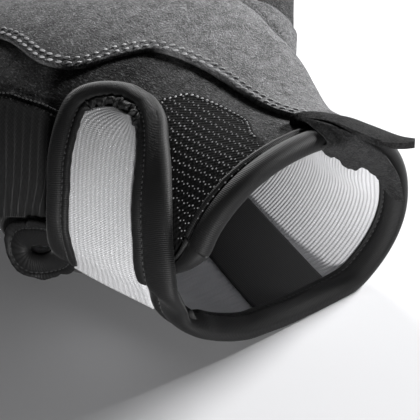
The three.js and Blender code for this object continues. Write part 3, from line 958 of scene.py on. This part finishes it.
def makeRibPanel():
    ys = np.arange(ribs["from"], ribs["to"], ribs["step"])
    top = np.interp(ys, *np.array(ribTop).T)
    foot = np.interp(ys, *np.array(ribFoot).T)
    share = np.linspace(0, 1, ribs["rows"])
    z = between(foot, top, share)
    yy = between(ys, ys, share)
    angle = angleAt(yy, z)
    side = surf(angle, yy)[..., 0]
    lean = ribs["lean"] * (side - side[:, -1:])  # ribs bow a little where the side bulges
    hook = np.exp(-(share[None, :] / ribs["hookShare"]) ** 2)
    hook = hook * np.exp(-(yy - ribs["from"]) / ribs["hookReach"])
    lean = lean + ribs["hook"] * hook
    phase = (yy - lean) / ribs["pitch"]
    wave = np.abs(np.sin(phase * math.pi)) ** 0.8
    edge = np.minimum(smoothstep(share, 0, 0.06), smoothstep(1 - share, 0, 0.06))[None, :]
    lift = ribs["lift"] + ribs["thickness"] + ribs["height"] * (wave - 1) * edge
    outer = surf(angle, yy, lift)
    inner = surf(angle, yy, -0.3)
    obj = wallMesh("side_ribs", outer, inner, (yy, z))
    dress(obj, "ribs", "rib_black", "rib_panel")
    line = surf(angleAt(ys, top + 0.6), ys, 0.9)
    sewLine("rib_stitches", [line], 1.1, 0.95, 0.42, "threadBlack", "rib_black")


# elastic lining and label inside the wrist

lining = {
    "gap": 2.1, "thickness": 1.3, "rib": 1.1, "depth": 0.24, "from": 5.0, "to": 54.0, "step": 0.24,
    "corner": (-158, -140), "pulled": 3.2,  # angles beside the strap's foot, mm away from the mouth
    "foot": (-152, -122), "footEnd": (12, 20), "fold": 1.6,
}


def slitAngles(y):  # the slit's two edges, as section angles
    high = np.interp(y, [0, 1.1, 3.1, 6, 9.2, 12.5, 16.3, 22.3, 36.9, 43.3, 50],
                     [156, 160, 165, 170, 174, 176, 178, 180, 182, 186, 192])
    low = np.interp(y, [0, 41, 44, 50], [14.2, 14.2, 10.4, 9.6])
    return high, angleAt(y, low)


def makeLining():
    ys = np.arange(lining["from"], lining["to"], lining["step"])
    upper, lower = slitAngles(ys)
    share = np.linspace(0, 1, 150)
    start = lower - 360
    angle = between(start, upper, share)
    yy = between(ys, ys, share)
    corner = 1 - smoothstep(angle, *lining["corner"])
    yy = yy + lining["pulled"] * corner * (1 - smoothstep(yy, 5, 14))
    wave = np.sin(yy / lining["rib"] * math.tau) * 0.5 + 0.5
    fold = lining["fold"] * np.exp(-(((angle - 6) / 9) ** 2)) * smoothstep(yy, 2, 14)
    # beside the strap's foot the lining lies close under the tape
    near = (1 - smoothstep(angle, *lining["foot"])) * (1 - smoothstep(yy, *lining["footEnd"]))
    depth = -lining["gap"] - lining["thickness"] - lining["depth"] * wave * (1 - near) - fold + 2.6 * near
    inner = surf(angle, yy, depth)
    outer = surf(angle, yy, -lining["gap"] - fold * 0.8 + 1.7 * near)
    obj = wallMesh("wrist_lining", outer, inner, (np.radians(angle) * 28, yy))
    dress(obj, "lining", "elastic_white", "elastic_lining")


label = {
    "thickness": 0.5, "step": 0.5,
    "left": [(4, -6.0), (9, -5.2), (44, 3.5)], "right": [(4, 14.2), (9, 15.2), (44, 23.5)],
}


def liningFloor(x, y):  # height of the lining's inner face under a plan point
    middle, low = seamHeight(y), handValue(y, lowOf)
    deep = lining["gap"] + lining["thickness"] + lining["depth"]
    half = handValue(y, halfOf) - deep
    across = np.clip(np.abs(x - handValue(y, centreOf)) / half, 0, 0.999)
    z = middle - (middle - low - deep) * (1 - across ** handValue(y, bendOf)) ** (1 / handValue(y, bendOf))
    return np.maximum(z, deep)


def makeLabel():
    ys = np.arange(4.8, 44.0, label["step"])
    left = np.interp(ys, *np.array(label["left"]).T)
    right = np.interp(ys, *np.array(label["right"]).T)
    share = np.linspace(0, 1, 30)
    x = between(left, right, share)
    yy = between(ys, ys, share)
    bottom = np.stack([x, yy, liningFloor(x, yy) + 0.12], -1)
    obj = wallMesh("woven_label", bottom + [0, 0, label["thickness"]], bottom)
    dress(obj, "label", "label_black", "inner_label")


# the strap and the tape that runs round every free edge

strapRows = [  # angle and y of the outer edge, then of the line where its tape ends
    (197, 1.9, 198, 13.4), (187, 1.9, 190, 13.4), (175.5, 1.1, 181, 13.2), (164.7, 2.9, 171, 13.4),
    (154.6, 6.3, 161, 15.3), (145.3, 9.7, 151, 18.2), (137.2, 13.2, 141.9, 21.2),
    (128.4, 17.7, 133.6, 24.4), (119.8, 23.1, 126.6, 27.8), (112.4, 28.3, 121.7, 30.8),
    (108.5, 33.6, 118.2, 34.5), (108, 37.5, 118.1, 36.6), (108.5, 41.0, 118.2, 38.8),
    (111.5, 45.0, 120.2, 41.2), (115.3, 47.9, 122.8, 42.8), (119.6, 49.6, 125.7, 43.8),
    (124.4, 50.0, 128.6, 43.9), (130.2, 48.9, 132.2, 43.1), (138.9, 46.5, 137.7, 41.1),
    (148.5, 43.8, 144.8, 38.6), (158.9, 40.8, 154.6, 35.7), (169, 39.2, 164.5, 33.6),
    (178.8, 40.0, 173.6, 32.7), (186.1, 41.6, 182.2, 33.9), (191.2, 42.4, 194.2, 36.0),
]
strap = {
    "lift": 3.4, "seat": 0.6, "thickness": 1.55, "rise": 0.3, "crown": 0.5, "width": 21, "length": 56,
    "rows": 70, "columns": 40, "degree": 0.55,  # mm for a degree of angle
}
slitRows = [  # tape's free edge round the slit, back edge first: angle, y, height over the hand, tape width
    (196.4, 44.6, 1, 5.6), (198.3, 46.3, 1, 5.6), (198.5, 48.0, 1, 5.8), (196.2, 49.0, 1, 6),
    (192.8, 48.2, 1, 6.2), (190.1, 46, 1, 6.4), (187.5, 43.3, 1, 6.6), (185.7, 40.6, 1, 6.4),
    (184.1, 36.9, 1, 6), (182.8, 32.5, 1, 5.4), (182.3, 28.2, 1, 5), (181.4, 22.3, 1, 4.4),
    (179.8, 16.3, 0.8, 3.6), (177.5, 12.5, 0.3, 3.2), (175.3, 9.2, -0.3, 2.8), (171, 6, -0.5, 3),
    (166.3, 3.1, -0.5, 4.2), (161.8, 1.1, -0.5, 5.6),
]


def strapLift(angle):
    return strap["seat"] + (strap["lift"] - strap["seat"]) * (1 - smoothstep(angle, 170, 190))


strapCurve = catmull(strapRows, 14)


def makeStrap():
    inner = strapCurve[:, 2:4]
    run = runAlong(inner * [strap["degree"], 1])
    share = np.linspace(0, 0.5, strap["rows"])
    right, left = [np.stack([np.interp(way * run[-1], run, inner[:, k]) for k in (0, 1)], -1)
                   for way in (share, 1 - share)]
    across = np.linspace(-0.03, 1.03, strap["columns"])
    place = between(right, left, across)
    angle, y = place[..., 0], place[..., 1]
    lift = strapLift(angle) + strap["rise"]
    bulge = strap["crown"] * np.sin(np.clip(across, 0, 1) * math.pi)[None, :] - 0.15
    top = surf(angle, y, lift + strap["thickness"] + bulge)
    u, v = across[None, :] * strap["width"], (share / 0.5)[:, None] * strap["length"]
    obj = wallMesh("closure_strap", top, surf(angle, y, lift), np.broadcast_arrays(u, v))
    dress(obj, "strap", "elastic_white", "wrist_strap")


tape = {
    "width": 7.0, "step": 0.45, "mouthStart": 156.0, "mouthEnd": -150.0, "pucker": 0.55, "waver": 0.1,
    "floor": 0.05,
    "stitches": ((0.72, 1.42), (0.6, -2.65)), "stitchFloor": 0.3,  # share of the width, height
    "corner": (2.6, -128, 26), "turn": (118, 150),  # the low corner's lift, angle and reach
}
tapeProfile = [  # share of the width from the free edge, height from the fabric's middle
    (-0.06, 0.0), (-0.045, 0.75), (0.03, 1.55), (0.16, 2.1), (0.34, 2.32), (0.52, 2.2), (0.65, 1.85),
    (0.72, 1.3), (0.78, 1.72), (0.88, 1.95), (0.97, 1.75), (1.01, 1.3), (0.99, 0.6), (0.84, -0.5),
    (0.8, -2.1), (0.77, -2.8), (0.69, -3.0), (0.6, -2.6), (0.46, -2.75), (0.2, -2.2), (0.03, -1.35),
    (-0.045, -0.7),
]


def tapePath():  # place, outward direction, width, thickness share and pucker, all the way round
    rows = []
    height, cornerAngle, reach = tape["corner"]
    for angle in np.linspace(tape["mouthStart"], tape["mouthEnd"], 30):
        raised = height * math.exp(-((angle - cornerAngle) / reach) ** 2)
        turn = smoothstep(-angle, *tape["turn"])
        place = surf(angle, -0.3 + 0.9 * turn, -1.0 + 0.8 * turn) + [0, 0, raised]
        rows.append((*place, *surfNormal(angle, 2.0), tape["width"] + 1.5 * turn, 1, 0))
    for angle, y, innerAngle, innerY in strapRows:
        foot = smoothstep(angle, 172, 190)
        lift = float(strapLift(np.array(angle, float))) + 1.3 - 1.0 * foot
        outer = surf(angle, y, lift)
        wide = np.linalg.norm(surf(innerAngle, innerY, lift) - outer)
        arch = float(y > 26 and angle < 128)
        wide = max(6.0, min(wide * 0.98, 11.0))
        rows.append((*outer, *surfNormal(angle, max(y, 2.0)), wide, 1 - 0.25 * foot, arch))
    for angle, y, lift, wide in slitRows:
        rows.append((*surf(angle, y, lift), *surfNormal(angle, y), wide, 0.85, 0.6 if y > 44 else 0))
    return evenly(catmull(rows, 12, closed=True), tape["step"], closed=True)


def makeTape():
    curve, run = tapePath()
    p, n, wide, thick, arch = curve[:, :3], curve[:, 3:6], curve[:, 6], curve[:, 7], curve[:, 8]
    t = np.roll(p, -1, axis=0) - np.roll(p, 1, axis=0)
    t /= np.linalg.norm(t, axis=1, keepdims=True)
    n = n - t * np.einsum("ij,ij->i", n, t)[:, None]
    n /= np.linalg.norm(n, axis=1, keepdims=True)
    inward = np.cross(n, t)
    profile = catmull(tapeProfile, 3, closed=True)
    waver = tape["waver"] * np.sin(run * 1.7) * np.sin(run * 0.43 + 1)
    ruffle = tape["pucker"] * arch * (np.sin(run * 1.25) + 0.6 * np.sin(run * 2.9 + 1))
    late = smoothstep(profile[:, 0], 0.7, 1.0)
    along = profile[None, :, 0] * wide[:, None] + (waver + ruffle)[:, None] * late[None, :]
    over = profile[None, :, 1] * thick[:, None] + 0.6 * (ruffle * np.cos(run * 1.25))[:, None] * late[None, :]
    grid = p[:, None, :] + inward[:, None, :] * along[..., None] + n[:, None, :] * over[..., None]
    grid[..., 2] = np.maximum(grid[..., 2], tape["floor"])
    uv = np.stack(np.meshgrid(run, profile[:, 0] * tape["width"], indexing="ij"), -1).reshape(-1, 2)
    obj = makeMesh("edge_tape", grid.reshape(-1, 3), gridFaces(*grid.shape[:2], True, True), uv)
    outward(obj)
    dress(obj, "tape", "tape_black", "strap_binding", "cuff_binding", "slit_binding")
    seams = []
    for across, height in tape["stitches"]:
        line = p + inward * (across * wide)[:, None] + n * (height * thick)[:, None]
        line[:, 2] = np.maximum(line[:, 2], tape["stitchFloor"])
        seams.append(line)
    sewLine("tape_stitches", seams, 1.3, 1.0, 0.36, "threadBlack", "tape_black")


# pull tab at the palm's edge

tabRows = [  # near edge, far edge
    ((8.2, 10.6, 46.6), (8.7, 11.2, 46.8)), ((8.4, 9.0, 47.6), (10.8, 10.9, 47.2)),
    ((8.9, 7.2, 48.4), (13.9, 10.1, 46.8)), ((10.4, 4.6, 49.2), (17.0, 9.4, 45.9)),
    ((11.9, 1.0, 49.8), (20.0, 8.4, 44.8)), ((12.9, -2.5, 49.8), (23.0, 6.0, 44.0)),
    ((14.8, -6.6, 48.8), (24.8, 2.6, 43.2)), ((17.4, -10.5, 47.5), (26.8, -1.2, 42.2)),
    ((20.4, -12.6, 46.9), (28.5, -4.8, 41.4)), ((23.2, -14, 46.8), (30.1, -7.3, 41.0)),
]
tab = {"thickness": 1.6, "crown": 0.9, "waver": 0.2, "bevel": 0.5}
foldTop = [  # where the folded fabric leaves the tab, left to right
    (8.4, 7.2, 48.9), (9.4, 4.6, 49.3), (10.6, 1.6, 49.4), (11.8, -1.4, 49.2), (13.6, -3.8, 48.2),
    (16.0, -4.8, 46.2), (18.8, -4.6, 43.6), (22.2, -3.8, 40.4), (25.6, -2.8, 36.6), (28.4, -1.6, 32.0),
    (30.4, -0.8, 27.0), (32.0, -0.4, 21.6),
]
foldRows = [  # x and z of the hanging edge at y = 2, left to right
    (7.6, 44.6), (9.4, 43.0), (11.2, 41.2), (13.7, 39.3), (16.0, 36.8), (18.5, 34.4), (21.1, 32.8),
    (23.9, 31.9), (26.2, 29.8), (28.3, 27.0), (30.7, 23.5), (32.2, 20.6),
]
fold = {"front": 2.3, "bulge": 1.2, "thickness": 1.4, "ridge": 0.6, "hem": 2.0, "bevel": 0.6}


def softEdge(obj, width, segments):
    bevel = obj.modifiers.new("edge", "BEVEL")
    bevel.width = width * mm
    bevel.segments = segments
    bevel.limit_method = "ANGLE"
    applyModifiers(obj)
    obj.data.shade_smooth()


def makeTab():
    near, far = [catmull([row[k] for row in tabRows], 8) for k in (0, 1)]
    share = np.linspace(0, 1, 24)
    top = between(near, far, share)
    top[..., 2] += tab["crown"] * np.sin(share * math.pi)[None, :]
    top[..., 2] += tab["waver"] * np.sin(np.linspace(0, 9, len(near)))[:, None]
    obj = wallMesh("pull_tab_suede", top, top - [0, 0, tab["thickness"]])
    softEdge(obj, tab["bevel"], 2)
    # painted shade: the tab wears a darker copy of the wrist suede
    dress(obj, "suedeTabShaded", "suede_dark", "pull_tab")


def makeFold():  # fabric folded over the mouth under the tab
    edge, _ = evenly(catmull(foldRows, 8), 0.45)
    count = len(edge)
    top = catmull(foldTop, 8)
    way = np.linspace(0, 1, len(top))
    top = np.stack([np.interp(np.linspace(0, 1, count), way, top[:, k]) for k in range(3)], -1)
    hem = np.stack([edge[:, 0], np.full(count, fold["hem"]), edge[:, 1]], -1)
    hem[:, 2] += 0.35 * np.sin(np.linspace(0, 26, count)) + 0.25 * np.sin(np.linspace(0, 61, count))
    share = np.linspace(0, 1, 26)
    ends = np.sin(np.linspace(0, 1, count) * math.pi) ** 0.5
    middle = top * 0.62 + hem * 0.38
    middle[:, 1] = -fold["front"] - fold["bulge"] * ends
    pull = 2 * middle - (top + hem) / 2
    after = share[None, :, None]
    grid = (1 - after) ** 2 * top[:, None, :] + after ** 2 * hem[:, None, :]
    grid = grid + 2 * after * (1 - after) * pull[:, None, :]
    folds = fold["ridge"] * np.sin(np.linspace(0, 17, count))[:, None] * np.sin(share * 2.6 + 0.4)[None, :]
    grid[..., 1] -= folds * ends[:, None]
    half = np.array([0, fold["thickness"] * 0.5, 0])
    obj = wallMesh("tab_fold_suede", grid - half, grid + half)
    softEdge(obj, fold["bevel"], 3)
    # painted shade: the fold wears a darker copy of the wrist suede
    dress(obj, "suedeFoldShaded", "suede_dark")


fronts = ["palm_shell"] + [f"{name}_front" for name in digits]
backs = ["back_shell"] + [f"{name}_back" for name in digits]
makePanel("palm_suede", [seamLevel, mouthKeep, slitLevel], "suedeDark", "suede_dark", fronts)
makePanel("back_knit", [lambda p: -seamLevel(p), mouthKeep, slitLevel], "knit", "knit_black", backs)
print("palm and back")
makePanel("palm_overlay_suede", [overlayLevel], "suedePale", "suede_pale", ["palm_overlay"], overlay)
sewOverlay()
makePanel("wrist_mesh", [meshLevel, slitLevel, mouthKeep], "mesh", "mesh_black", ["mesh_patch"], patch)
makeDots()
makeRibPanel()
print("panels")
makeLining()
makeLabel()
makeStrap()
makeTape()
makeTab()
makeFold()
print("strap, tape and tab")
bpy.data.objects.remove(bodyForm)

# floor, lights and camera

lights = [  # name, place and target in metres, size, power
    ("key", (0.66, -0.08, 0.34), (0.0, -0.05, 0.02), 0.2, 11.5),
    ("rim", (0.36, 0.66, 0.3), (0.0, -0.03, 0.03), 0.2, 6.5),
    ("fill", (-0.25, -0.35, 0.036), (-0.02, -0.08, 0.03), 0.06, 1.45),
]
studio = {"world": 0.03, "floor": 4}
view = {
    "azimuth": -40.0, "elevation": 34.0, "distance": 520.0, "scale": 4.4, "pixels": 420, "sensor": 36,
    "seen": (-10, 0, 1.5), "at": (257, 336),  # this point of the glove lies on this pixel
}


def makeFloor():
    mesh = bpy.data.meshes.new("studio_floor")
    corners = [(x * studio["floor"], y * studio["floor"], 0) for x, y in ((-1, -1), (1, -1), (1, 1), (-1, 1))]
    mesh.from_pydata(corners, [], [(0, 1, 2, 3)])
    mesh.materials.append(looks["floor"])
    addObject("studio_floor", mesh)


def makeLight(name, place, target, size, power):
    data = bpy.data.lights.new(name, "AREA")
    data.shape = "DISK"
    data.size = size
    data.energy = power
    aim = (Vector(target) - Vector(place)).to_track_quat("-Z", "Y").to_matrix().to_4x4()
    addObject(name, data).matrix_world = Matrix.Translation(Vector(place)) @ aim


def makeCamera():
    a, e = math.radians(view["azimuth"]), math.radians(view["elevation"])
    back = np.array([math.sin(a) * math.cos(e), -math.cos(a) * math.cos(e), math.sin(e)])
    right = np.array([math.cos(a), math.sin(a), 0.0])
    up = np.cross(back, right)
    middle = view["pixels"] / 2
    px, py = view["at"]
    target = np.array(view["seen"], float)
    target = target - right * (px - middle) / view["scale"] + up * (py - middle) / view["scale"]
    data = bpy.data.cameras.new("camera")
    data.sensor_width = view["sensor"]
    data.lens = view["scale"] * view["distance"] / view["pixels"] * view["sensor"]
    data.clip_start = 0.01
    data.clip_end = 20
    obj = addObject("camera", data)
    place = Matrix.Translation(Vector(toFrame(target + back * view["distance"])))
    obj.matrix_world = place @ Matrix((right, up, back)).transposed().to_4x4()
    bpy.context.scene.camera = obj


makeFloor()
for row in lights:
    makeLight(*row)
world = bpy.data.worlds.new("studio")
world.use_nodes = True
backdrop = world.node_tree.nodes["Background"].inputs
backdrop["Strength"].default_value = studio["world"]
backdrop["Color"].default_value = (1, 1, 1, 1)
bpy.context.scene.world = world
bpy.context.scene.view_settings.view_transform = "Standard"
makeCamera()
print("stage ready")
